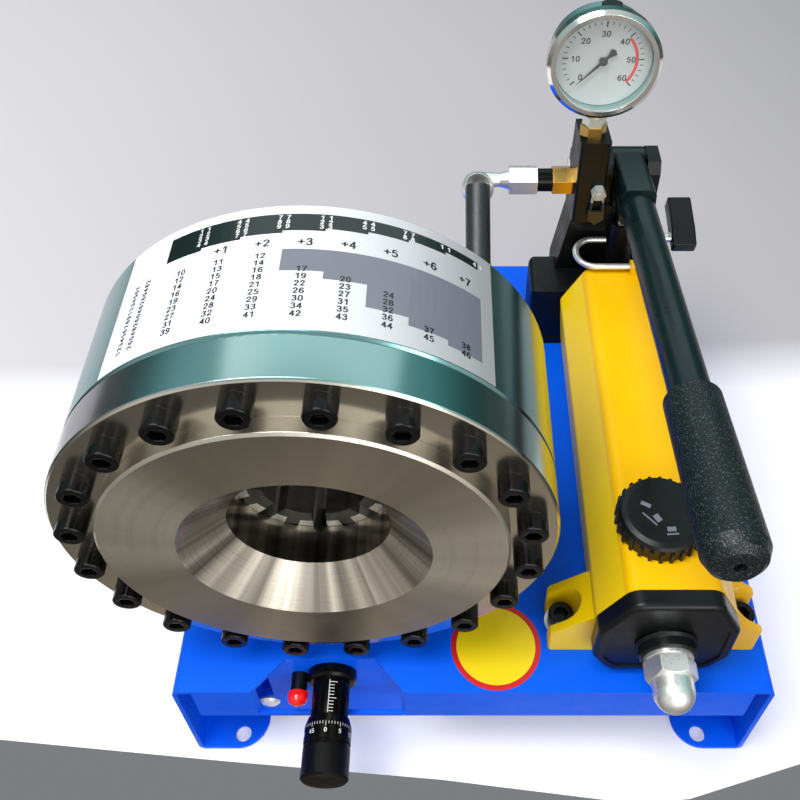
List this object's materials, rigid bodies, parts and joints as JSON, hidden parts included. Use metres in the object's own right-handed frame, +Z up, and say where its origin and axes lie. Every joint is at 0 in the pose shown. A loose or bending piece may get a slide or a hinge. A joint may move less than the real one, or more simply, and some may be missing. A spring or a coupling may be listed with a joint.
{
  "type": "hose crimping machine",
  "caption": "Bench hose crimper: round ring-piston die head and lever hand pump with pressure gauge on a folded sheet base, with a setting micrometer below the head",
  "frame": {"origin": "centre of the four foot bolt holes, on the bench", "axes": "+X right as seen by the user at the die opening, +Y to the rear, +Z up"},
  "size_m": [0.4095, 0.4188, 0.3929],
  "materials": {
    "blue_paint": "smooth gloss paint",
    "yellow_paint": "smooth gloss paint",
    "black_paint": "satin casting paint",
    "lever_paint": "gloss dark paint",
    "polished_steel": "polished bar steel",
    "turned_steel": "fine turned",
    "cylinder_steel": "polished",
    "black_oxide": "black oxide",
    "die_steel": "ground",
    "zinc": "bright zinc plate",
    "brass": "turned",
    "black_plastic": "fine grain",
    "foam_grip": "speckled foam",
    "hose_rubber": "cloth-marked rubber",
    "black_steel": "black chrome",
    "chrome": "bright",
    "case_steel": "satin",
    "dial_white": "printed",
    "glass": "clear",
    "red_lamp": "clear red",
    "pointer_black": "plain"
  },
  "bodies": {
    "machine": {"base_plate": "blue_paint", "head_saddle": "blue_paint", "mounting_screws": "black_oxide", "nuts_and_washers": "zinc", "front_flange": "polished_steel", "flange_screws": "black_oxide", "cone_plate": "turned_steel", "head_cylinder": "cylinder_steel", "tail_gland": "polished_steel", "gland_screws": "black_oxide", "port_fitting": "zinc", "micrometer_bracket": "blue_paint", "micrometer_sleeve": "black_steel", "lamp_socket": "black_plastic", "lamp_lens": "red_lamp", "pump_tank": "yellow_paint", "pump_end_cap": "black_plastic", "tie_bolt": "zinc", "pump_head": "black_paint", "valve_screw": "zinc", "gauge_adapter": "brass", "gauge_case": "case_steel", "gauge_bezel": "chrome", "gauge_dial": "dial_white", "gauge_lens": "glass", "gauge_plug": "black_plastic", "outlet_adapter": "brass", "coupling_collar": "black_steel", "hose_nut": "zinc", "hose_elbow": "zinc", "pressure_hose": "hose_rubber", "pivot_pin": "zinc"},
    "lever": {"lever_socket": "lever_paint", "lever_tube": "lever_paint", "lever_grip": "foam_grip"},
    "plunger": {"pump_plunger": "chrome"},
    "knob": {"release_knob": "black_plastic"},
    "cap": {"filler_cap": "black_plastic"},
    "wire": {"hold_down_wire": "zinc"},
    "spindle": {"micrometer_spindle": "chrome"},
    "thimble": {"micrometer_thimble": "black_steel"},
    "pointer": {"gauge_pointer": "pointer_black"},
    "piston": {"ring_piston": "die_steel", "stroke_feeler": "zinc"},
    "die_1": {"master_die_1": "die_steel", "die_insert_1": "black_oxide"},
    "die_2": {"master_die_2": "die_steel", "die_insert_2": "black_oxide"},
    "die_3": {"master_die_3": "die_steel", "die_insert_3": "black_oxide"},
    "die_4": {"master_die_4": "die_steel", "die_insert_4": "black_oxide"},
    "die_5": {"master_die_5": "die_steel", "die_insert_5": "black_oxide"},
    "die_6": {"master_die_6": "die_steel", "die_insert_6": "black_oxide"},
    "die_7": {"master_die_7": "die_steel", "die_insert_7": "black_oxide"},
    "die_8": {"master_die_8": "die_steel", "die_insert_8": "black_oxide"}
  },
  "joints": [
    {"name": "lever_pivot", "type": "hinge", "parent": "machine", "child": "lever", "pos_m": [0.1163, 0.142, 0.2465], "axis": [-1, 0, 0], "range_deg": [0, 45]},
    {"name": "plunger_slide", "type": "slide", "parent": "machine", "child": "plunger", "axis": [0, 0, 1], "range_m": [0, 0.0185]},
    {"name": "release_turn", "type": "hinge", "parent": "machine", "child": "knob", "pos_m": [0.158, 0.13, 0.186], "axis": [1, 0, 0], "range_deg": [0, 90]},
    {"name": "filler_turn", "type": "hinge", "parent": "machine", "child": "cap", "pos_m": [0.109, -0.123, 0.1905], "axis": [0, 0, 1], "range_deg": [0, 90]},
    {"name": "wire_swing", "type": "hinge", "parent": "machine", "child": "wire", "pos_m": [0.102, 0.088, 0.196], "axis": [1, 0, 0], "range_deg": [0, 75]},
    {"name": "thimble_turn", "type": "hinge", "parent": "spindle", "child": "thimble", "pos_m": [-0.09, -0.2, 0.078], "axis": [0, 1, 0], "range_deg": [0, 3600.2]},
    {"name": "spindle_slide", "type": "slide", "parent": "machine", "child": "spindle", "axis": [0, 1, 0], "range_m": [0, 0.01]},
    {"name": "pointer_turn", "type": "hinge", "parent": "machine", "child": "pointer", "pos_m": [0.083, 0.11077, 0.35588], "axis": [0, 0.9903, -0.1392], "range_deg": [0, 270], "stiffness_Nm_per_rad": 0.0003},
    {"name": "piston_slide", "type": "slide", "parent": "machine", "child": "piston", "axis": [0, -1, 0], "range_m": [0, 0.028], "stiffness_N_per_m": 400},
    {"name": "die_slide_1", "type": "slide", "parent": "machine", "child": "die_1", "axis": [-0.9239, 0, -0.3827], "range_m": [0, 0.01001]},
    {"name": "die_slide_2", "type": "slide", "parent": "machine", "child": "die_2", "axis": [-0.3827, 0, -0.9239], "range_m": [0, 0.01001]},
    {"name": "die_slide_3", "type": "slide", "parent": "machine", "child": "die_3", "axis": [0.3827, 0, -0.9239], "range_m": [0, 0.01001]},
    {"name": "die_slide_4", "type": "slide", "parent": "machine", "child": "die_4", "axis": [0.9239, 0, -0.3827], "range_m": [0, 0.01001]},
    {"name": "die_slide_5", "type": "slide", "parent": "machine", "child": "die_5", "axis": [0.9239, 0, 0.3827], "range_m": [0, 0.01001]},
    {"name": "die_slide_6", "type": "slide", "parent": "machine", "child": "die_6", "axis": [0.3827, 0, 0.9239], "range_m": [0, 0.01001]},
    {"name": "die_slide_7", "type": "slide", "parent": "machine", "child": "die_7", "axis": [-0.3827, 0, 0.9239], "range_m": [0, 0.01001]},
    {"name": "die_slide_8", "type": "slide", "parent": "machine", "child": "die_8", "axis": [-0.9239, 0, 0.3827], "range_m": [0, 0.01001]}
  ],
  "couplings": [
    {"joint": "plunger_slide", "follows": "lever_pivot", "m_per_rad": 0.023388},
    {"joint": "thimble_turn", "follows": "spindle_slide", "rad_per_m": 6283.2},
    {"joint": "die_slide_1", "follows": "piston_slide", "ratio": 0.35714},
    {"joint": "die_slide_2", "follows": "piston_slide", "ratio": 0.35714},
    {"joint": "die_slide_3", "follows": "piston_slide", "ratio": 0.35714},
    {"joint": "die_slide_4", "follows": "piston_slide", "ratio": 0.35714},
    {"joint": "die_slide_5", "follows": "piston_slide", "ratio": 0.35714},
    {"joint": "die_slide_6", "follows": "piston_slide", "ratio": 0.35714},
    {"joint": "die_slide_7", "follows": "piston_slide", "ratio": 0.35714},
    {"joint": "die_slide_8", "follows": "piston_slide", "ratio": 0.35714}
  ]
}
